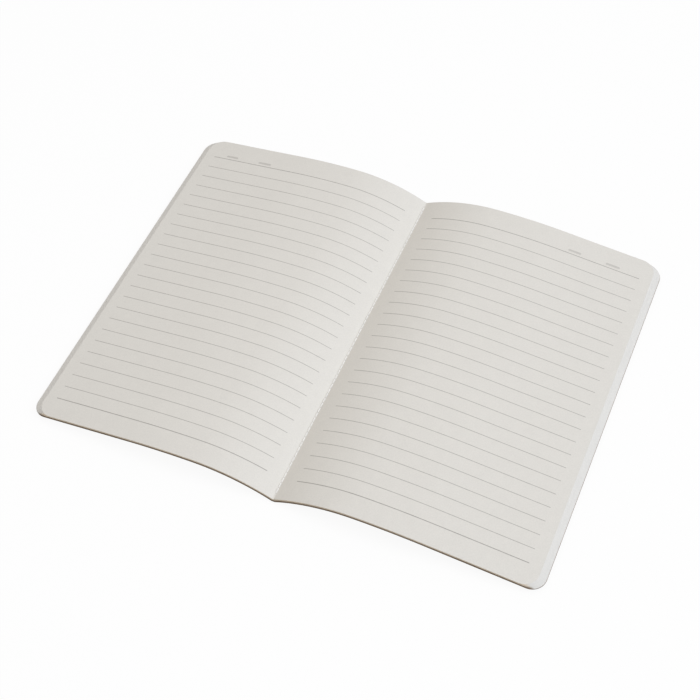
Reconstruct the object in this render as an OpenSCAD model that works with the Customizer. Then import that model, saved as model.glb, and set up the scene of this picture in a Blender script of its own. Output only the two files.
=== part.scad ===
// Thin sewn notebook, lying open at its centre spread.
// Millimetres. X runs from the left page to the right page, Y from tail to head, Z up.
// The origin is on the table under the middle of the fold.

/* [Page] */
// Height of the leaves and the cover, from tail to head
page_h = 209; // [150:1:300]
// Distance from the fold to each cover's fore-edge, as the notebook lies
half_w = 138; // [125:1:200]
// Radius of the rounded outer corners
corner_r = 8; // [3:0.5:12]

/* [Leaves] */
// Number of leaves on each side of the fold
leaves = 20; // [8:1:24]
// Thickness of one leaf
leaf_t = 0.09; // [0.08:0.01:0.15]
// How far each leaf's fore-edge stops short of the sheet beneath it
leaf_step = 0.19; // [0.1:0.005:0.22]

/* [Cover] */
// Thickness of the cover card
card_t = 0.45; // [0.25:0.05:0.6]
// Width of the sewn crease between the two covers
crease_w = 2; // [1.8:0.1:3]
// Clearance between the crease and each cover, along the line where the cover turns
turn_gap = 0.05; // [0.03:0.01:0.1]
// Clearance between the cover and the lowest leaf
cover_gap = 0.15; // [0.1:0.05:0.3]

/* [Arch] */
// Slope of the sheets where they leave the fold, in degrees
rise_angle = 29; // [24:0.5:31]
// Slope of the sheets on their way down to the fore-edge, in degrees
fall_angle = 6.5; // [5.5:0.5:8]
// Bend radius of the cover over the crest, on its outer half
crest_r = 330; // [250:10:400]
// How high the stiff sheets hold each fore-edge over the table
edge_lift = 2.5; // [1.5:0.5:4]

/* [Sewing] */
// Thickness of the sewing thread
thread_d = 0.4; // [0.3:0.05:0.5]
// Distance from one needle hole to the next
stitch_pitch = 3.2; // [2.5:0.1:6]
// Distance from the head and the tail to the first needle hole, at least
stitch_margin = 2.5; // [2:0.5:10]
// Stretch of each stitch that climbs out of its needle hole
stitch_climb = 0.7; // [0.5:0.1:1.1]
// Clearance between the thread and the side of a needle hole
needle_gap = 0.1; // [0.05:0.05:0.2]

/* [Hidden] */

paper = [0.87, 0.86, 0.83];
kraft = [0.60, 0.47, 0.34];
white = [0.93, 0.93, 0.90];

bend_step = 1.5;  // degrees turned by each facet of a bend
lap = 0.5;        // how far a cutter reaches past what it cuts
corner_spare = 0.5;
side = [-1, 1];

// Heights above the underside of the cover, square to the sheet
block_bottom = card_t + cover_gap;
block_top = block_bottom + leaves * leaf_t;

// The underside of the cover at the fold stands on the outer stitches
fold_z = thread_d;
fold_x = crease_w / 2;

// The outer stretch, where each leaf has its own end, takes in the rounded corners of them all
bevel = leaves * leaf_step;
outer_w = corner_r + bevel + corner_spare;
outer_x = half_w - outer_w;

// The underside of a half runs from the crease over two bends and down a straight slope to
// the fore-edge. The first bend's radius closes the run.
rise_r = ((half_w - fold_x) * sin(fall_angle) + (edge_lift - fold_z) * cos(fall_angle)
        - crest_r * (1 - cos(fall_angle)))
    / (sin(rise_angle) * sin(fall_angle) + (1 - cos(rise_angle)) * cos(fall_angle));

rise_centre = [fold_x + rise_r * sin(rise_angle), fold_z - rise_r * cos(rise_angle)];
crest_centre = [rise_centre[0], rise_centre[1] + rise_r - crest_r];

// Stitches fill the fold as evenly as the margins allow
stitches = floor((page_h - 2 * stitch_margin) / stitch_pitch);
needle_y = [for (i = [0:stitches]) (i - stitches / 2) * stitch_pitch];
needle_w = thread_d + 2 * needle_gap;

// Points on a circle, turning from one angle to another, measured from straight up
function bend(centre, radius, from, to) =
    let (steps = ceil(abs(to - from) / bend_step))
    [for (i = [0:steps])
        let (a = from + (to - from) * i / steps)
        centre + radius * [sin(a), cos(a)]];

// Where a face at a given height leaves the level bottom of the fold
function valley_angle(height) =
    -acos((rise_r * cos(rise_angle) + height) / (rise_r + height));

// Where a face at a given height crosses an upright line beside the fold
function upright_angle(height, x) =
    -asin((rise_centre[0] - x) / (rise_r + height));

// A point on the slope, at a height above the underside of the cover
function on_slope(x, height) =
    [x, edge_lift + (half_w - x) * tan(fall_angle) + height / cos(fall_angle)];

// One face of a half, from its start beside the fold to an upright line near the fore-edge
function face(height, start, end_x) = concat(
    bend(rise_centre, rise_r + height, start, 0),
    bend(crest_centre, crest_r + height, 0, fall_angle),
    [on_slope(end_x, height)]
);

// Each leaf's underside and fore-edge, counted from the lowest leaf
function leaf_height(i) = block_bottom + i * leaf_t;
function leaf_edge(i) = half_w - (i + 1) * leaf_step;

function flip(points) = [for (p = points) [-p[0], p[1]]];
function backwards(points) = [for (i = [len(points) - 1:-1:0]) points[i]];

// One face of the whole page block, from its left outer stretch over the fold to its right one
function spread(height) =
    let (half = face(height, valley_angle(height), outer_x))
    concat(backwards(flip(half)), half);

// A cross-section swept from tail to head
module along_fold(points) {
    rotate([90, 0, 0])
        linear_extrude(page_h, center = true)
            polygon(points);
}

// Rounds the two outer corners of a sheet that ends at a given distance from the fold
module round_corners(edge) {
    difference() {
        children();
        for (s = side)
            translate([edge - corner_r, s * (page_h / 2 - corner_r)])
                linear_extrude(edge_lift + outer_w)
                    corner_waste(s);
    }
}

// What the corner cutter takes off, beyond a quarter circle
module corner_waste(s) {
    difference() {
        scale([1, s])
            square(corner_r + lap);
        circle(corner_r, $fn = 64);
    }
}

// One hole through the fold for each dip of the thread, square like the thread's own section
module needle_holes() {
    for (y = needle_y)
        translate([0, y, 0])
            linear_extrude(fold_z + block_top + lap)
                square(needle_w, center = true);
}

// The outer stretch of one leaf, to its own fore-edge; the leaf above it ends further in
module leaf_end(i) {
    round_corners(leaf_edge(i))
        along_fold(concat(
            [on_slope(outer_x, leaf_height(i)), on_slope(leaf_edge(i), leaf_height(i))],
            [on_slope(leaf_edge(i), leaf_height(i + 1))],
            i < leaves - 1 ? [on_slope(leaf_edge(i + 1), leaf_height(i + 1))] : [],
            [on_slope(outer_x, leaf_height(i + 1))]
        ));
}

// All the leaves of both halves: folded sheets, nested in the fold and stepped at the fore-edge
module page_block() {
    color(paper)
        difference() {
            union() {
                along_fold(concat(spread(block_bottom), backwards(spread(block_top))));
                for (turn = [0, 180])
                    rotate([0, 0, turn])
                        for (i = [0:leaves - 1])
                            leaf_end(i);
            }
            needle_holes();
        }
}

// The sewn crease of the cover card
module cover_spine() {
    color(kraft)
        difference() {
            translate([-fold_x, -page_h / 2, fold_z])
                cube([crease_w, page_h, card_t]);
            needle_holes();
        }
}

// One half of the cover card, from its turning line to the fore-edge
module cover() {
    start_x = fold_x + turn_gap;
    color(kraft)
        round_corners(half_w)
            along_fold(concat(
                face(0, upright_angle(0, start_x), half_w),
                backwards(face(card_t, upright_angle(card_t, start_x), half_w))
            ));
}

// The left half of the cover card
module front_cover() {
    rotate([0, 0, 180])
        cover();
}

// The right half of the cover card
module back_cover() {
    cover();
}

// One row of stitches on a face of the fold, dipping into every needle hole
function stitch_row(base, rise) = concat(
    [[needle_y[0] - thread_d / 2, base]],
    [for (i = [0:stitches - 1], p = [[0, 0], [stitch_climb, rise], [stitch_pitch - stitch_climb, rise]])
        [needle_y[i] + p[0], base + p[1]]],
    [[needle_y[stitches] + thread_d / 2, base]]
);

// The thread: a row of stitches in the gutter, one under the spine, and the legs between them
module sewing_thread() {
    gutter_z = fold_z + block_top;
    color(white)
        rotate([90, 0, 90])
            linear_extrude(thread_d, center = true)
                difference() {
                    polygon(concat(stitch_row(gutter_z, thread_d), backwards(stitch_row(fold_z, -thread_d))));
                    for (i = [0:stitches - 1])
                        translate([needle_y[i] + thread_d / 2, fold_z])
                            square([stitch_pitch - thread_d, block_top]);
                }
}

page_block();
cover_spine();
front_cover();
back_cover();
sewing_thread();
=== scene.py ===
"""Looks of the open sewn notebook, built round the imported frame: paper, card, thread, camera and light.

Metres throughout. X runs from the left page to the right page, Y from tail to head, Z up from the table.
"""

import math

import bpy
import numpy as np
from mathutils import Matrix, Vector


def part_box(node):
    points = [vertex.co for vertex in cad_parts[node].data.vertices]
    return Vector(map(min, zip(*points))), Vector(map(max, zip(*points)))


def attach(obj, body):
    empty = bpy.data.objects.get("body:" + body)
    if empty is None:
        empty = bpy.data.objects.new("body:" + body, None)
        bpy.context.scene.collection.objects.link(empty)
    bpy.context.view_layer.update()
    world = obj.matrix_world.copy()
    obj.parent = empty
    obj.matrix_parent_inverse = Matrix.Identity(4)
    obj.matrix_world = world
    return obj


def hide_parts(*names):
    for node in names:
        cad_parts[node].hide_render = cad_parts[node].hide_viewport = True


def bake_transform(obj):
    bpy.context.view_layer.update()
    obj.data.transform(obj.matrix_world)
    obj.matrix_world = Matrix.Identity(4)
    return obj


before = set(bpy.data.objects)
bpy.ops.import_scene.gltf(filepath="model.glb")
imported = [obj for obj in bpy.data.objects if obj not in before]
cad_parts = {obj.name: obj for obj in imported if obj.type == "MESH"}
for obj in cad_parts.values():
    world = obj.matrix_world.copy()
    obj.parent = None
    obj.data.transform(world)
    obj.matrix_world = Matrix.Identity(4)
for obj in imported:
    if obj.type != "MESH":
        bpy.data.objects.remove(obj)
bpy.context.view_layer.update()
scene = bpy.context.scene
rng = np.random.default_rng(11)
MM = 0.001

# Sizes read from the frame
spine_low, spine_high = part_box("cover_spine")
PAGE_HALF_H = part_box("page_block")[1].y
HALF_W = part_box("back_cover")[1].x
THREAD_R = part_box("sewing_thread")[1].x
FOLD_X = spine_high.x
FOLD_Z = spine_low.z
CARD_T = spine_high.z - spine_low.z

# Sizes that the source of the solids gives
CORNER_R = 8.0 * MM
LEAVES = 20
LEAF_T = 0.09 * MM
LEAF_STEP = 0.19 * MM
COVER_GAP = 0.15 * MM
RISE = math.radians(29)
FALL = math.radians(6.5)
CREST_R = 330.0 * MM
EDGE_LIFT = 2.5 * MM
STITCH = 3.2 * MM
STITCHES = 63

# Heights of the page block's faces above the underside of the cover, square to the sheet
BLOCK_BOTTOM = CARD_T + COVER_GAP
BLOCK_TOP = BLOCK_BOTTOM + LEAVES * LEAF_T

# The rise arc closes the run from the crease over the crest to the fore-edge
RISE_R = (
    (HALF_W - FOLD_X) * math.sin(FALL)
    + (EDGE_LIFT - FOLD_Z) * math.cos(FALL)
    - CREST_R * (1 - math.cos(FALL))
) / (math.sin(RISE) * math.sin(FALL) + (1 - math.cos(RISE)) * math.cos(FALL))
CREST_X = FOLD_X + RISE_R * math.sin(RISE)
CREST_Z = FOLD_Z + RISE_R * (1 - math.cos(RISE))

# The corners of the top leaf begin here
FORE_X = HALF_W - CORNER_R - LEAVES * LEAF_STEP

# How finely the surfaces are divided, with more points of the rise near the fold, and what counts as sharp
RISE_SHARES = np.linspace(0, 1, 37) ** 1.35
CREST_SHARES = np.linspace(0, 1, 13)[1:]
CORNER_ANGLES = np.linspace(0, math.pi / 2, 13)
SLOPE_POINTS = 9
PAGE_ROWS = 41
COVER_ROWS = 31
THREAD_SIDES = 8
RINGS_PER_STITCH = 14
SHARP_ANGLE = 35

# Rounding of a leaf's cut edge: inset and height of each loop, from the leaf's underside to its top
LEAF_BITE = 0.03 * MM
LEAF_LIP = 0.012 * MM
LEAF_SHOULDER = 0.03 * MM
LEAF_PROFILE = (
    (LEAF_BITE, LEAF_LIP),
    (0.0, LEAF_SHOULDER),
    (0.0, LEAF_T - LEAF_SHOULDER),
    (LEAF_BITE, LEAF_T - LEAF_LIP),
)
OUTER_FACE_INSET = 0.01 * MM

# How a leaf's edge wanders: the usual height of a wave, the share of it left at head and tail, and the
# numbers of waves that go round the loop
LEAF_WANDER = 0.008 * MM
END_WANDER = 0.5
WANDER_WAVES = np.arange(2, 40, 3)

# Rounding of the card's cut edge: inset and height of each loop, from its underside to its top
CARD_BITE = 0.02 * MM
CARD_LIP = 0.03 * MM
CARD_SHOULDER = 0.09 * MM
CARD_PROFILE = (
    (CARD_BITE, CARD_LIP),
    (0.0, CARD_SHOULDER),
    (0.0, CARD_T - CARD_SHOULDER),
    (CARD_BITE, CARD_T - CARD_LIP),
)
CARD_FACE_INSET = 0.06 * MM

# Waves of the paper, as radians per metre along X, the same along Y, and a phase
COCKLE_WAVES = ((61, 38, 0.4), (-47, 55, 1.9), (83, -21, 3.1), (29, 74, 5.0), (-98, -44, 0.8))
COCKLE_HEIGHT = 0.03 * MM
COCKLE_START = 6 * MM
COCKLE_STOP = FORE_X + 4 * MM
COCKLE_FADE = 20 * MM

# The thread. With an odd number of stitches, its holes lie half a stitch off the middle of the fold.
HOLE_SHIFT = 0.5 * (STITCHES % 2)
DIP_WIDTH = 0.36 * MM
DIP_DEPTH = 0.5 * MM
THREAD_SWAY = 0.05 * MM
THREAD_SPREAD = 0.7
TWIST_LENGTH = 1.1 * MM
PLIES = 2.0

# Painted shade of a needle hole, where the thread dips into it: the radii where it starts and is full. The
# painted shade ends just past the last hole.
HOLE_START = 0.48 * MM
HOLE_FULL = 0.22 * MM
HOLE_REACH = (STITCHES / 2 + 0.3) * STITCH
HOLE_WEIGHT = 0.25

# The print on each page: ruled lines from foot to head, and short grey bars over the head line
RULE_PITCH = 8.0 * MM
FOOT_RULE_Y = -92.79 * MM
RULES = 24
RULE_HALF_T = 0.16 * MM
RULE_SOFT = 0.04 * MM
RULE_WEIGHT = 0.58
FOOT_MORE_T = 0.04 * MM
FOOT_MORE_WEIGHT = 0.10
HEAD_MORE_WEIGHT = 0.16
RULE_SPANS = ((-128.24 * MM, -8.16 * MM), (8.04 * MM, 127.74 * MM))
FIELD_Y = 93.4 * MM
FIELD_HALF_T = 0.85 * MM
FIELD_WEIGHT = 0.28
FIELD_BARS = (
    (-120.3 * MM, -114.3 * MM),
    (-99.6 * MM, -93.0 * MM),
    (87.6 * MM, 93.6 * MM),
    (109.0 * MM, 115.6 * MM),
)

# Where a mask of the cut ends starts and is full, as distances inside head and tail. The first fades over
# the rounded corners, and the second takes in the flat cut alone.
CORNER_TURN = (1.6 * MM, 0.2 * MM)
CUT_FACE = (0.02 * MM, 0.01 * MM)

# Camera, with its turn in degrees, and light
CAMERA_PLACE = (0.190558, -0.397992, 0.594821)
CAMERA_TURN = (36.2350, 2.2171, 22.9891)
CAMERA_LENS = 71.61
LIT_POINT = np.zeros(3)
SURROUND_POWER = 0.42
TABLE_REACH = 6.0
TABLE_WHITENESS = 0.93

# Colours
PAPER = (0.732, 0.710, 0.666, 1)
INK = (0.12, 0.10, 0.09, 1)
HOLE_SHADE = (0.12, 0.11, 0.10, 1)
FORE_EDGE = (0.75, 0.737, 0.708, 1)
# Painted shade on the leaf edges at head and tail, warmed by a painted bounce from the card: brown next to
# the card, tan above it
PAINTED_SHADE_BROWN = (0.21, 0.155, 0.105, 1)
PAINTED_SHADE_TAN = (0.74, 0.65, 0.53, 1)
KRAFT_GROUND = ((0.30, 0.205, 0.125, 1), (0.37, 0.26, 0.165, 1))
KRAFT_FIBRE = (0.44, 0.32, 0.21, 1)
KRAFT_FLECK = (0.16, 0.10, 0.06, 1)
# Cut ends of the kraft: darker brown, partly as painted shade, like the card's edges
KRAFT_CUT_AND_SHADE = (0.19, 0.13, 0.085, 1)
# The card's cut edge: brown darkened by painted shade at head and tail, and grey along the fore-edge
CARD_BROWN_AND_SHADE = ((0.14, 0.095, 0.06, 1), (0.25, 0.175, 0.115, 1))
CARD_FORE_GREY = ((0.34, 0.34, 0.34, 1), (0.46, 0.46, 0.45, 1))
# Thread: darker painted shade in the valleys between the plies, white on their crowns
THREAD_TONES_AND_VALLEY_SHADE = ((0.70, 0.68, 0.64, 1), (0.93, 0.92, 0.90, 1))
TABLE = (0.92, 0.92, 0.92, 1)
WARM_LIGHT = (1.0, 0.965, 0.923)
COOL_LIGHT = (0.80, 0.88, 1.0)
WHITE = (1, 1, 1, 1)


# Camera

def set_camera():
    """The camera of the photograph, from a fit to the ruled lines and the outline."""
    data = bpy.data.cameras.new("camera")
    data.sensor_fit = "HORIZONTAL"
    data.sensor_width = 36
    data.lens = CAMERA_LENS
    data.clip_start = 0.01
    data.clip_end = 20
    camera = bpy.data.objects.new("camera", data)
    camera.location = CAMERA_PLACE
    camera.rotation_euler = [math.radians(angle) for angle in CAMERA_TURN]
    scene.collection.objects.link(camera)
    scene.camera = camera


# Shapes

def arc(centre_x, centre_z, radius, start, end, shares):
    """Points on a circle from one angle to another, from straight up: centre + radius * (sin, cos)."""
    angle = start + (end - start) * shares
    return np.stack([centre_x + radius * np.sin(angle), centre_z + radius * np.cos(angle)], axis=1)


def half_section(height, first_x=None):
    """X and Z of one half of a face at a height square to the sheet, from the fold to the end of the crest.

    A rise arc, then a crest arc; a face further up has larger radii about the same centres. Without
    first_x the face starts in the middle of the fold, on its level floor.
    """
    rise_r = RISE_R + height
    if first_x is None:
        start = -math.acos((RISE_R * math.cos(RISE) + height) / rise_r)
    else:
        start = -math.asin((CREST_X - first_x) / rise_r)
    rise = arc(CREST_X, CREST_Z - RISE_R, rise_r, start, 0, RISE_SHARES)
    crest = arc(CREST_X, CREST_Z - CREST_R, CREST_R + height, 0, FALL, CREST_SHARES)
    middle = [[0, rise[0, 1]]] if first_x is None else np.empty((0, 2))
    return np.concatenate([middle, rise, crest])


def slope_z(x, height):
    """Height over the table of the straight slope, for a face at a height square to the sheet.

    edge lift + distance to the fore-edge * tan(fall) + height / cos(fall).
    """
    return EDGE_LIFT + (HALF_W - x) * math.tan(FALL) + height / math.cos(FALL)


def half_plan(height, edge, inset=0.0, first_x=None):
    """Columns of one half of a face, as x, z and the half height of the page there.

    Up to the corner the half height is the page's; round the corner it follows a quarter circle.
    """
    section = half_section(height, first_x)
    corner_x = edge - CORNER_R
    radius = CORNER_R - inset
    straight = np.linspace(section[-1, 0], corner_x, SLOPE_POINTS)[1:-1]
    outer_x = np.concatenate([straight, corner_x + radius * np.sin(CORNER_ANGLES)])
    level = np.full(len(section) + len(straight), PAGE_HALF_H - inset)
    return (
        np.concatenate([section[:, 0], outer_x]),
        np.concatenate([section[:, 1], slope_z(outer_x, height)]),
        np.concatenate([level, PAGE_HALF_H - CORNER_R + radius * np.cos(CORNER_ANGLES)]),
    )


def full_plan(height, edge, inset=0.0):
    """Columns of a whole face: the right half, its mirror image on the left, and the fold's column once."""
    x, z, half_h = half_plan(height, edge, inset)
    return (
        np.concatenate([-x[:0:-1], x]),
        np.concatenate([z[:0:-1], z]),
        np.concatenate([half_h[:0:-1], half_h]),
    )


def face_grid(plan, rows):
    """Points of a face: each column of the plan stretched evenly from its tail end to its head end."""
    x, z, half_h = plan
    grid = np.empty((rows, len(x), 3))
    grid[..., 0] = x
    grid[..., 1] = np.linspace(-1, 1, rows)[:, None] * half_h
    grid[..., 2] = z
    return grid


def rim_of(rows, columns):
    """Indices of a grid's outer points, anticlockwise seen from above, starting at the tail."""
    index = np.arange(rows * columns).reshape(rows, columns)
    return np.concatenate([index[0, :-1], index[:-1, -1], index[-1, :0:-1], index[:0:-1, 0]])


def grid_quads(rows, columns):
    """Quads of a grid whose points are stored row by row, facing up."""
    index = np.arange(rows * columns).reshape(rows, columns)
    corners = [index[:-1, :-1], index[:-1, 1:], index[1:, 1:], index[1:, :-1]]
    return np.stack(corners, axis=-1).reshape(-1, 4)


def wall_quads(loops):
    """Quads between neighbouring closed loops of points, from the first loop to the last."""
    low, high = loops[:-1], loops[1:]
    corners = [low, np.roll(low, -1, axis=1), np.roll(high, -1, axis=1), high]
    return np.stack(corners, axis=-1).reshape(-1, 4)


def closed_stack(top, bottom, wall):
    """A closed piece from a top grid, a bottom grid and the loops of its edge between them.

    Gives its points, its quads in three parts and, for each quad, 0 for the top, 1 for the bottom and 2
    for the edge.
    """
    rows, columns = top.shape[:2]
    count = rows * columns
    rim = rim_of(rows, columns)
    between = 2 * count + np.arange(wall.shape[0] * wall.shape[1]).reshape(wall.shape[:2])
    loops = np.concatenate([[rim + count], between, [rim]])
    faces = grid_quads(rows, columns)
    points = np.concatenate([top.reshape(-1, 3), bottom.reshape(-1, 3), wall.reshape(-1, 3)])
    parts = [faces, faces[:, ::-1] + count, wall_quads(loops)]
    kinds = np.concatenate([np.full(len(part), kind) for kind, part in enumerate(parts)])
    return points, parts, kinds


def make_piece(name, points, parts, materials, kinds=None, sharp=None):
    """A smooth mesh object at the origin, from points and arrays of faces.

    kinds gives each face's material, and edges over the sharp angle, in degrees, stay sharp.
    """
    mesh = bpy.data.meshes.new(name)
    mesh.from_pydata(points.tolist(), [], [face for part in parts for face in part.tolist()])
    if kinds is not None:
        mesh.polygons.foreach_set("material_index", kinds.astype(np.int32))
    mesh.polygons.foreach_set("use_smooth", np.ones(len(mesh.polygons), bool))
    if sharp is not None:
        mesh.set_sharp_from_angle(angle=math.radians(sharp))
    mesh.update()
    piece = bpy.data.objects.new(name, mesh)
    scene.collection.objects.link(piece)
    for material in materials:
        mesh.materials.append(material)
    return piece


def write_attribute(piece, name, kind, key, values):
    """Writes a named value on each point of a piece."""
    made = piece.data.attributes.new(name, kind, "POINT")
    made.data.foreach_set(key, values.astype(np.float32).ravel())


def cockle(grid):
    """The slight waves of damp-cured paper: a sum of long crossing sines, sin(a * x + b * y + phase).

    They are at most about 0.15 mm high together, and fade out towards the fold and the fore-edge.
    """
    waves = sum(np.sin(a * grid[..., 0] + b * grid[..., 1] + phase) for a, b, phase in COCKLE_WAVES)
    return waves * COCKLE_HEIGHT * cockle_share(grid)


def cockle_share(grid):
    """How much of the cockle a point takes: none in the fold and at the fore-edge, all of it between them.

    At both it fades over COCKLE_FADE by the smooth step s * s * (3 - 2 * s).
    """
    from_fold = np.abs(grid[..., 0])
    inner = np.clip((from_fold - COCKLE_START) / COCKLE_FADE, 0, 1)
    outer = np.clip((COCKLE_STOP - from_fold) / COCKLE_FADE, 0, 1)
    return inner * inner * (3 - 2 * inner) * outer * outer * (3 - 2 * outer)


def edge_wander(length):
    """A cut edge's wandering line round a closed loop: the sum of height * sin(wave * turn + phase).

    The waves are whole numbers, and their phases and heights are drawn by chance.
    """
    phases = rng.uniform(0, 6.3, len(WANDER_WAVES))
    heights = rng.normal(0, LEAF_WANDER, len(WANDER_WAVES))
    turn = np.linspace(0, 2 * math.pi, length, endpoint=False)
    return (heights[:, None] * np.sin(WANDER_WAVES[:, None] * turn + phases[:, None])).sum(axis=0)


def leaf_loops(i, rim):
    """The loops of points round one leaf's cut edge, from its underside to its top.

    Each leaf's edge is two slants and an upright. It is set back by the leaf's step at the fore-edge
    only, and wanders a few hundredths of a millimetre in and out there, and less at head and tail. The
    lowest leaf and the top one don't wander, and end in the block's own faces.
    """
    edge = HALF_W - LEAF_STEP * (i + 1)
    underside = BLOCK_BOTTOM + i * LEAF_T
    wander = edge_wander(len(rim))
    first = 1 if i == 0 else 0
    last = -1 if i == LEAVES - 1 else None
    loops = []
    for inset, rise in LEAF_PROFILE[first:last]:
        loop = face_grid(full_plan(underside + rise, edge, inset), PAGE_ROWS).reshape(-1, 3)[rim]
        if 0 < i < LEAVES - 1:
            fore = np.clip((np.abs(loop[:, 0]) - FORE_X) / CORNER_R, 0, 1)
            loop[:, 0] += np.sign(loop[:, 0]) * wander * fore
            loop[:, 1] += np.sign(loop[:, 1]) * wander * (1 - fore) * END_WANDER
        loops.append(loop)
    return loops


def page_block(materials):
    """All the leaves: the top page, the lowest page, and between them every leaf's own edge.

    The attribute leaf_share runs from 0 on the lowest leaf to 1 on the top one.
    """
    top = face_grid(full_plan(BLOCK_TOP, HALF_W - LEAF_STEP * LEAVES, OUTER_FACE_INSET), PAGE_ROWS)
    bottom = face_grid(full_plan(BLOCK_BOTTOM, HALF_W - LEAF_STEP, OUTER_FACE_INSET), PAGE_ROWS)
    rim = rim_of(*top.shape[:2])
    wall = np.array([loop for i in range(LEAVES) for loop in leaf_loops(i, rim)])
    for grid in (top, wall):
        grid[..., 2] += cockle(grid)
    points, parts, kinds = closed_stack(top, bottom, wall)
    piece = make_piece("page_block_paper", points, parts, materials, kinds, SHARP_ANGLE)
    face_points = top.shape[0] * top.shape[1]
    on_wall = np.repeat(np.linspace(0, 1, len(wall)), len(rim))
    share = np.concatenate([np.ones(face_points), np.zeros(face_points), on_wall])
    write_attribute(piece, "leaf_share", "FLOAT", "value", share)
    return piece


def cover(name, side, materials):
    """One half of the cover card, from the crease to its fore-edge, with a softly rounded cut edge.

    The left half is the right one turned half a turn about the upright line through the origin.
    """
    top = face_grid(half_plan(CARD_T, HALF_W, CARD_FACE_INSET, FOLD_X), COVER_ROWS)
    bottom = face_grid(half_plan(0.0, HALF_W, CARD_FACE_INSET, FOLD_X), COVER_ROWS)
    rim = rim_of(*top.shape[:2])
    loops = []
    for inset, rise in CARD_PROFILE:
        grid = face_grid(half_plan(rise, HALF_W, inset, FOLD_X), COVER_ROWS)
        loops.append(grid.reshape(-1, 3)[rim])
    points, parts, kinds = closed_stack(top, bottom, np.array(loops))
    return make_piece(name, points * [side, side, 1], parts, materials, kinds, SHARP_ANGLE)


def stitch_row(base, side):
    """Centre line of a row of stitches: level on the fold, dipping into each needle hole in a bell.

    The bell is exp(-(distance to the hole / DIP_WIDTH)^2). Between two holes the thread stands a little
    higher and sways a little sideways. Gives the line and, along it, how free the thread is of its
    holes: 0 at a hole, 1 midway.
    """
    y = np.linspace(-STITCHES / 2, STITCHES / 2, STITCHES * RINGS_PER_STITCH + 1) * STITCH
    to_hole = np.abs((y / STITCH + HOLE_SHIFT + 0.5) % 1 - 0.5) * STITCH
    dip = np.exp(-((to_hole / DIP_WIDTH) ** 2))
    free = 1 - (1 - np.clip(to_hole / (STITCH / 2), 0, 1)) ** 2
    z = base + side * (THREAD_R * (0.9 + 0.1 * free) - DIP_DEPTH * dip)
    x = THREAD_SWAY * np.sin(y / STITCH * math.pi * 2 + 0.6) * free
    return np.stack([x, y, z], axis=1), free


def tube(path):
    """Rings of a round thread, each square to its path, which stays near a plane of constant x."""
    ahead = np.gradient(path, axis=0)
    ahead /= np.linalg.norm(ahead, axis=1, keepdims=True)
    across = np.cross(ahead, [1.0, 0, 0])
    across /= np.linalg.norm(across, axis=1, keepdims=True)
    third = np.cross(ahead, across)
    angle = np.linspace(0, 2 * math.pi, THREAD_SIDES, endpoint=False)[:, None]
    ring = across[:, None] * np.cos(angle) + third[:, None] * np.sin(angle)
    return path[:, None] + ring * THREAD_R


def stitch_tube(base, side):
    """One row of stitches as a closed tube: its points, its faces, and each point's run and turn.

    The run is the length of thread up to a point, and the turn is its share of the way round. The two
    plies lie side by side between the holes, so the thread is wider there, by THREAD_SPREAD at most.
    """
    path, free = stitch_row(base, side)
    skin = tube(path)
    skin[..., 0] += (skin[..., 0] - path[:, :1]) * THREAD_SPREAD * free[:, None]
    points = np.concatenate([skin.reshape(-1, 3), skin[[0, -1]].mean(axis=1)])

    index = np.arange(skin.shape[0] * skin.shape[1]).reshape(skin.shape[:2])
    tip = np.full(THREAD_SIDES, index.size)
    near_cap = np.stack([np.roll(index[0], -1), index[0], tip], axis=1)
    far_cap = np.stack([index[-1], np.roll(index[-1], -1), tip + 1], axis=1)

    run = np.concatenate([[0], np.cumsum(np.linalg.norm(np.diff(path, axis=0), axis=1))])
    turn = np.tile(np.arange(THREAD_SIDES) / THREAD_SIDES, len(path))
    run_turn = np.zeros((len(points), 3))
    run_turn[:, 0] = np.concatenate([np.repeat(run, THREAD_SIDES), run[[0, -1]]])
    run_turn[:, 1] = np.concatenate([turn, [0, 0]])
    return points, [wall_quads(index), near_cap, far_cap], run_turn


def sewing_thread(materials):
    """Two rows of stitches through the same needle holes: one in the gutter, one under the spine."""
    gutter, gutter_faces, gutter_run = stitch_tube(FOLD_Z + BLOCK_TOP, 1)
    spine, spine_faces, spine_run = stitch_tube(FOLD_Z, -1)
    parts = gutter_faces + [part + len(gutter) for part in spine_faces]
    piece = make_piece("sewing_thread_stitches", np.concatenate([gutter, spine]), parts, materials)
    write_attribute(piece, "thread_run", "FLOAT_VECTOR", "vector", np.concatenate([gutter_run, spine_run]))
    return piece


# Node helpers

def put(tree, kind, **settings):
    """A new node with its own settings."""
    made = tree.nodes.new(kind)
    for key, value in settings.items():
        setattr(made, key, value)
    return made


def feed(tree, socket, value):
    """Links an output to a socket, or writes a plain value on it."""
    if isinstance(value, bpy.types.NodeSocket):
        tree.links.new(value, socket)
    else:
        socket.default_value = value


def calc(tree, operation, *values):
    """One Math node."""
    made = put(tree, "ShaderNodeMath", operation=operation)
    for socket, value in zip(made.inputs, values):
        feed(tree, socket, value)
    return made.outputs[0]


def split(tree, vector):
    """The X and Y of a vector."""
    made = put(tree, "ShaderNodeSeparateXYZ")
    feed(tree, made.inputs[0], vector)
    return made.outputs["X"], made.outputs["Y"]


def hypotenuse(tree, first, second):
    """The square root of the sum of two squares."""
    squares = [calc(tree, "MULTIPLY", side, side) for side in (first, second)]
    return calc(tree, "SQRT", calc(tree, "ADD", *squares))


def within(tree, value, low, high):
    """1 where a value lies between two limits, and 0 elsewhere."""
    above = calc(tree, "GREATER_THAN", value, low)
    return calc(tree, "MULTIPLY", above, calc(tree, "LESS_THAN", value, high))


def ramp(tree, value, low, high, to_low=0.0, to_high=1.0, shape="SMOOTHSTEP"):
    """A value carried from one range to another, clamped."""
    made = put(tree, "ShaderNodeMapRange", interpolation_type=shape)
    names = ("Value", "From Min", "From Max", "To Min", "To Max")
    for name, given in zip(names, (value, low, high, to_low, to_high)):
        feed(tree, made.inputs[name], given)
    return made.outputs["Result"]


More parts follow.
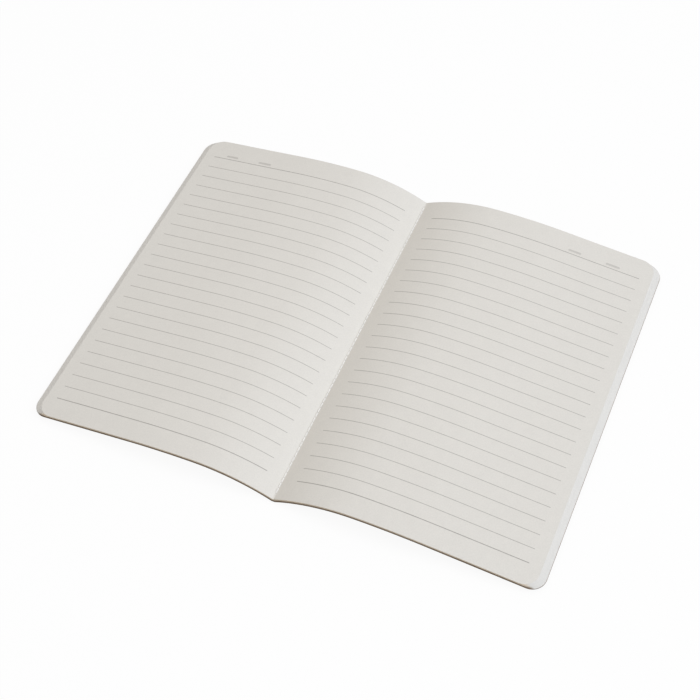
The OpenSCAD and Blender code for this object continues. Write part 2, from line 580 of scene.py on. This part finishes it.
def blend_colour(tree, share, first, second):
    """Two colours mixed by a share."""
    made = put(tree, "ShaderNodeMix", data_type="RGBA")
    feed(tree, made.inputs["Factor"], share)
    sockets = [socket for socket in made.inputs if socket.type == "RGBA"]
    feed(tree, sockets[0], first)
    feed(tree, sockets[1], second)
    return next(socket for socket in made.outputs if socket.type == "RGBA")


def scale_colour(tree, colour, tone):
    """A colour made lighter or darker by a factor."""
    made = put(tree, "ShaderNodeVectorMath", operation="SCALE")
    feed(tree, made.inputs[0], colour)
    feed(tree, made.inputs["Scale"], tone)
    return made.outputs[0]


def noise(tree, vector, scale, detail, rough, stretch=None):
    """Noise from 0 to 1 at a scale per metre, stretched along the axes if asked."""
    if stretch is not None:
        mapping = put(tree, "ShaderNodeMapping")
        feed(tree, mapping.inputs["Vector"], vector)
        mapping.inputs["Scale"].default_value = stretch
        vector = mapping.outputs["Vector"]
    made = put(tree, "ShaderNodeTexNoise")
    names = ("Vector", "Scale", "Detail", "Roughness")
    for name, given in zip(names, (vector, scale, detail, rough)):
        feed(tree, made.inputs[name], given)
    return made.outputs["Fac"]


def new_group(name, inputs, outputs):
    """An empty node group with named sockets, its input node and its output node."""
    tree = bpy.data.node_groups.new(name, "ShaderNodeTree")
    for socket, kind in inputs:
        tree.interface.new_socket(socket, in_out="INPUT", socket_type=kind)
    for socket, kind in outputs:
        tree.interface.new_socket(socket, in_out="OUTPUT", socket_type=kind)
    return tree, put(tree, "NodeGroupInput").outputs, put(tree, "NodeGroupOutput").inputs


def use_group(tree, group, **values):
    """A group placed in a material with its own values, as its outputs."""
    made = put(tree, "ShaderNodeGroup", node_tree=group)
    for name, value in values.items():
        feed(tree, made.inputs[name], value)
    return made.outputs


# Effects that are node groups

FLOAT, VECTOR, COLOUR = "NodeSocketFloat", "NodeSocketVector", "NodeSocketColor"


def paper_grain():
    """Paper: cloudy formation a few millimetres across, fine felt grain, and fibres in its height."""
    tree, given, out = new_group(
        "paper_grain",
        [("Vector", VECTOR), ("Colour", COLOUR), ("Cloud", FLOAT), ("Felt", FLOAT)],
        [("Colour", COLOUR), ("Height", FLOAT)],
    )
    cloud = noise(tree, given["Vector"], scale=190, detail=4, rough=0.6)
    felt = noise(tree, given["Vector"], scale=1500, detail=3, rough=0.65)
    fibre = noise(tree, given["Vector"], scale=620, detail=2, rough=0.5, stretch=(1.0, 2.6, 1.0))
    cloudy = calc(tree, "MULTIPLY", calc(tree, "SUBTRACT", cloud, 0.5), given["Cloud"])
    felty = calc(tree, "MULTIPLY", calc(tree, "SUBTRACT", felt, 0.5), given["Felt"])
    tone = calc(tree, "ADD", calc(tree, "ADD", cloudy, felty), 1.0)
    feed(tree, out["Colour"], scale_colour(tree, given["Colour"], tone))
    feed(tree, out["Height"], calc(tree, "ADD", felt, calc(tree, "MULTIPLY", fibre, 0.7)))
    return tree


def cut_ends():
    """1 on the cuts at head and tail: a smooth step from Start to Full, distances from the page's middle."""
    tree, given, out = new_group(
        "cut_ends",
        [("Vector", VECTOR), ("Start", FLOAT), ("Full", FLOAT)],
        [("Ends", FLOAT)],
    )
    _, y = split(tree, given["Vector"])
    feed(tree, out["Ends"], ramp(tree, calc(tree, "ABSOLUTE", y), given["Start"], given["Full"]))
    return tree


def field_bars(tree, x, y):
    """Four plain bars over the head line, two to a page, by how far a point is from each bar's spine."""
    ink = 0.0
    for start, end in FIELD_BARS:
        from_middle = calc(tree, "ABSOLUTE", calc(tree, "SUBTRACT", x, (start + end) / 2))
        past_end = calc(tree, "MAXIMUM", calc(tree, "SUBTRACT", from_middle, (end - start) / 2), 0.0)
        away = hypotenuse(tree, past_end, calc(tree, "SUBTRACT", y, FIELD_Y))
        ink = calc(tree, "MAXIMUM", ramp(tree, away, FIELD_HALF_T, FIELD_HALF_T * 0.6), ink)
    return ink


def ruling():
    """Ink of the print: the bars, and the ruled lines inside the margins.

    A line's ink follows how far a point is from the nearest one. The head line is a little darker than
    the rest, and the foot line is bolder.
    """
    tree, given, out = new_group("ruling", [("Vector", VECTOR)], [("Ink", FLOAT)])
    x, y = split(tree, given["Vector"])
    count = calc(tree, "DIVIDE", calc(tree, "SUBTRACT", y, FOOT_RULE_Y), RULE_PITCH)
    nearest = calc(tree, "ROUND", count)
    off = calc(tree, "ABSOLUTE", calc(tree, "SUBTRACT", count, nearest))
    away = calc(tree, "MULTIPLY", off, RULE_PITCH)
    is_foot = within(tree, nearest, -0.5, 0.5)
    is_head = within(tree, nearest, RULES - 1.5, RULES - 0.5)

    half = calc(tree, "ADD", RULE_HALF_T, calc(tree, "MULTIPLY", is_foot, FOOT_MORE_T))
    outside = calc(tree, "ADD", half, RULE_SOFT)
    line = ramp(tree, away, outside, calc(tree, "SUBTRACT", half, RULE_SOFT))
    counted = within(tree, nearest, -0.5, RULES - 0.5)
    inside = calc(tree, "ADD", *(within(tree, x, low, high) for low, high in RULE_SPANS))
    weight = calc(tree, "ADD", RULE_WEIGHT, calc(tree, "MULTIPLY", is_foot, FOOT_MORE_WEIGHT))
    weight = calc(tree, "ADD", weight, calc(tree, "MULTIPLY", is_head, HEAD_MORE_WEIGHT))
    line = calc(tree, "MULTIPLY", line, counted)
    line = calc(tree, "MULTIPLY", line, calc(tree, "MULTIPLY", inside, weight))

    bars = calc(tree, "MULTIPLY", field_bars(tree, x, y), FIELD_WEIGHT)
    blots = noise(tree, given["Vector"], scale=900, detail=3, rough=0.6)
    patchy = ramp(tree, blots, 0.3, 0.7, 0.82, 1.0)
    feed(tree, out["Ink"], calc(tree, "MULTIPLY", calc(tree, "MAXIMUM", line, bars), patchy))
    return tree


# Materials

def new_material(name, roughness, specular):
    """A material with one Principled shader, its tree and Object coordinates."""
    made = bpy.data.materials.new(name)
    made.use_nodes = True
    tree = made.node_tree
    shader = tree.nodes["Principled BSDF"].inputs
    shader["Roughness"].default_value = roughness
    shader["Specular IOR Level"].default_value = specular
    place = put(tree, "ShaderNodeTexCoord").outputs["Object"]
    return made, tree, shader, place


def bump(tree, shader, height, strength, distance):
    """A Bump node on the shader's normal."""
    made = put(tree, "ShaderNodeBump")
    made.inputs["Strength"].default_value = strength
    made.inputs["Distance"].default_value = distance
    feed(tree, made.inputs["Height"], height)
    feed(tree, shader["Normal"], made.outputs["Normal"])


def needle_hole_painted_shade(tree, place):
    """Painted shade of the needle holes in the gutter, by how far a point is from the nearest hole's middle.
    """
    x, y = split(tree, place)
    count = calc(tree, "ADD", calc(tree, "DIVIDE", y, STITCH), HOLE_SHIFT)
    off = calc(tree, "SUBTRACT", count, calc(tree, "ROUND", count))
    away = hypotenuse(tree, x, calc(tree, "MULTIPLY", off, STITCH))
    # How much painted shade a point takes
    hole_shade_share = calc(tree, "MULTIPLY", ramp(tree, away, HOLE_START, HOLE_FULL), HOLE_WEIGHT)
    return calc(tree, "MULTIPLY", hole_shade_share, within(tree, y, -HOLE_REACH, HOLE_REACH))


def ruled_paper():
    """The page: paper grain under printed lines, with painted shade at the needle holes."""
    made, tree, shader, place = new_material("ruled_paper", roughness=0.88, specular=0.25)
    paper = use_group(tree, GRAIN, Vector=place, Colour=PAPER, Cloud=0.06, Felt=0.18)
    ink = use_group(tree, RULING, Vector=place)["Ink"]
    colour = blend_colour(tree, ink, paper["Colour"], INK)
    # Painted shade darkens the paper round each needle hole
    feed(tree, shader["Base Color"], blend_colour(tree, needle_hole_painted_shade(tree, place), colour, HOLE_SHADE))
    bump(tree, shader, paper["Height"], strength=0.12, distance=0.03 * MM)
    return made


def ends_mask(tree, place, insides):
    """The cut ends at head and tail, with the mask's start and full as distances inside them."""
    start, full = (PAGE_HALF_H - inside for inside in insides)
    return use_group(tree, ENDS, Vector=place, Start=start, Full=full)["Ends"]


def leaf_edges():
    """Cut paper edges: clean at the fore-edge; at head and tail painted shade with a painted warm bounce
    from the card, tan, and brown next to the card.

    The leaves lie in bunches, so the tone of the edges goes up and down a little from leaf to leaf.
    """
    made, tree, shader, place = new_material("leaf_edges", roughness=0.92, specular=0.2)
    share = put(tree, "ShaderNodeAttribute", attribute_name="leaf_share").outputs["Fac"]
    # Painted shade at head and tail: brown on the lowest leaves, tan towards the top leaf
    painted_edge_shade = blend_colour(tree, ramp(tree, share, 0.1, 0.75), PAINTED_SHADE_BROWN, PAINTED_SHADE_TAN)
    colour = blend_colour(tree, ends_mask(tree, place, CORNER_TURN), FORE_EDGE, painted_edge_shade)
    bunch = calc(tree, "SINE", calc(tree, "MULTIPLY", share, 43.0))
    tone = calc(tree, "ADD", 0.98, calc(tree, "MULTIPLY", bunch, 0.04))
    toned = scale_colour(tree, colour, tone)
    paper = use_group(tree, GRAIN, Vector=place, Colour=toned, Cloud=0.04, Felt=0.04)
    feed(tree, shader["Base Color"], paper["Colour"])
    return made


def kraft_card():
    """Brown kraft: long pale fibres and dark flecks on a mottled ground, darker on the cut ends, partly as
    painted shade.
    """
    made, tree, shader, place = new_material("kraft_card", roughness=0.82, specular=0.3)
    ground = noise(tree, place, scale=260, detail=4, rough=0.6)
    fibres = noise(tree, place, scale=900, detail=3, rough=0.7, stretch=(1.0, 0.22, 1.0))
    specks = noise(tree, place, scale=1300, detail=2, rough=0.5, stretch=(0.5, 1.0, 1.0))
    flecks = calc(tree, "MULTIPLY", ramp(tree, specks, 0.64, 0.74), 0.5)
    colour = blend_colour(tree, ground, *KRAFT_GROUND)
    colour = blend_colour(tree, ramp(tree, fibres, 0.35, 0.75, 0.0, 0.45), colour, KRAFT_FIBRE)
    colour = blend_colour(tree, flecks, colour, KRAFT_FLECK)
    # Painted shade, with the cut's own brown, on the ends at head and tail
    colour = blend_colour(tree, ends_mask(tree, place, CUT_FACE), colour, KRAFT_CUT_AND_SHADE)
    feed(tree, shader["Base Color"], colour)
    bump(tree, shader, calc(tree, "ADD", fibres, ground), strength=0.25, distance=0.05 * MM)
    return made


def card_edge():
    """The cut edge of the kraft card: brown at head and tail, darkened there by painted shade, and grey
    along the fore-edge.
    """
    made, tree, shader, place = new_material("card_edge", roughness=0.9, specular=0.2)
    strands = noise(tree, place, scale=2500, detail=3, rough=0.7, stretch=(1.0, 1.0, 4.0))
    brown = blend_colour(tree, strands, *CARD_BROWN_AND_SHADE)
    fore_grey = blend_colour(tree, strands, *CARD_FORE_GREY)
    # Painted shade darkens the brown at head and tail; the fore-edge is grey
    colour = blend_colour(tree, ends_mask(tree, place, CORNER_TURN), fore_grey, brown)
    feed(tree, shader["Base Color"], colour)
    return made


def cotton_thread():
    """White thread: a twist of plies, with a valley where run / TWIST_LENGTH + PLIES * turn is whole,
    darkened there by painted shade.
    """
    made, tree, shader, _ = new_material("cotton_thread", roughness=0.75, specular=0.35)
    thread_run = put(tree, "ShaderNodeAttribute", attribute_name="thread_run").outputs["Vector"]
    run, turn = split(tree, thread_run)
    along = calc(tree, "MULTIPLY", run, 1 / TWIST_LENGTH)
    twist = calc(tree, "ADD", along, calc(tree, "MULTIPLY", turn, PLIES))
    from_crown = calc(tree, "ABSOLUTE", calc(tree, "SUBTRACT", calc(tree, "FRACT", twist), 0.5))
    crown = ramp(tree, from_crown, 0.5, 0.3)
    # Painted shade in the valleys between the plies, besides the bump
    feed(tree, shader["Base Color"], blend_colour(tree, crown, *THREAD_TONES_AND_VALLEY_SHADE))
    bump(tree, shader, crown, strength=0.6, distance=0.08 * MM)
    return made


# Floor and light

def seen_directly(tree):
    """1 where a surface is seen straight, by reflection or through glass, and 0 for the light it sheds."""
    path = put(tree, "ShaderNodeLightPath").outputs
    seen = calc(tree, "MAXIMUM", path["Is Camera Ray"], path["Is Glossy Ray"])
    return calc(tree, "MAXIMUM", seen, path["Is Transmission Ray"])


def white_table():
    """A pale table that is nearly all white to the eye, but keeps a share of its own shading."""
    made, tree, shader, _ = new_material("white_table", roughness=0.95, specular=0.0)
    shader["Base Color"].default_value = TABLE
    glow = put(tree, "ShaderNodeEmission")
    glow.inputs["Color"].default_value = WHITE
    mixed = put(tree, "ShaderNodeMixShader")
    feed(tree, mixed.inputs[0], calc(tree, "MULTIPLY", seen_directly(tree), TABLE_WHITENESS))
    tree.links.new(tree.nodes["Principled BSDF"].outputs[0], mixed.inputs[1])
    tree.links.new(glow.outputs[0], mixed.inputs[2])
    tree.links.new(mixed.outputs[0], tree.nodes["Material Output"].inputs["Surface"])
    return made


def set_floor():
    """A wide table top under the notebook, which takes a faint soft shadow."""
    corners = TABLE_REACH * np.array([(-1, -1, 0), (1, -1, 0), (1, 1, 0), (-1, 1, 0)])
    floor = make_piece("floor", corners, [np.array([(0, 1, 2, 3)])], [white_table()])


def lamp(name, place, size, power, colour):
    """A square soft lamp that faces the lit point."""
    data = bpy.data.lights.new(name, "AREA")
    data.shape = "SQUARE"
    data.size = size
    data.energy = power
    data.color = colour
    made = bpy.data.objects.new(name, data)
    made.location = place
    aim = LIT_POINT - place
    made.rotation_euler = (math.atan2(math.hypot(aim[0], aim[1]), -aim[2]), 0, math.atan2(-aim[0], aim[1]))
    scene.collection.objects.link(made)


def set_light():
    """A large cool key lamp from the right and a soft warm one above, in an even warm white surround."""
    world = bpy.data.worlds.new("surround")
    scene.world = world
    world.use_nodes = True
    tree = world.node_tree
    back = tree.nodes["Background"].inputs
    seen = seen_directly(tree)
    feed(tree, back["Color"], blend_colour(tree, seen, (*WARM_LIGHT, 1), WHITE))
    feed(tree, back["Strength"], ramp(tree, seen, 0.0, 1.0, SURROUND_POWER, 1.0, shape="LINEAR"))
    lamp("key", place=(3.0, 0.0, 2.4), size=2.0, power=76.4, colour=COOL_LIGHT)
    lamp("top", place=(0.0, 0.0, 0.8), size=0.5, power=2.1, colour=WARM_LIGHT)


# Pieces

GRAIN = paper_grain()
RULING = ruling()
ENDS = cut_ends()
RULED = ruled_paper()
EDGES = leaf_edges()
KRAFT = kraft_card()
CARD_EDGE = card_edge()

pages = page_block([RULED, RULED, EDGES])
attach(pages, "pages")
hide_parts("page_block")

for name, side in (("front_cover", -1), ("back_cover", 1)):
    card = cover(name + "_card", side, [KRAFT, KRAFT, CARD_EDGE])
    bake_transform(card)
    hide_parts(name)

stitches = sewing_thread([cotton_thread()])
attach(stitches, "pages")
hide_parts("sewing_thread")

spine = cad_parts["cover_spine"]
spine.data.materials.clear()
spine.data.materials.append(KRAFT)

set_camera()
set_floor()
set_light()
scene.view_settings.view_transform = "Standard"
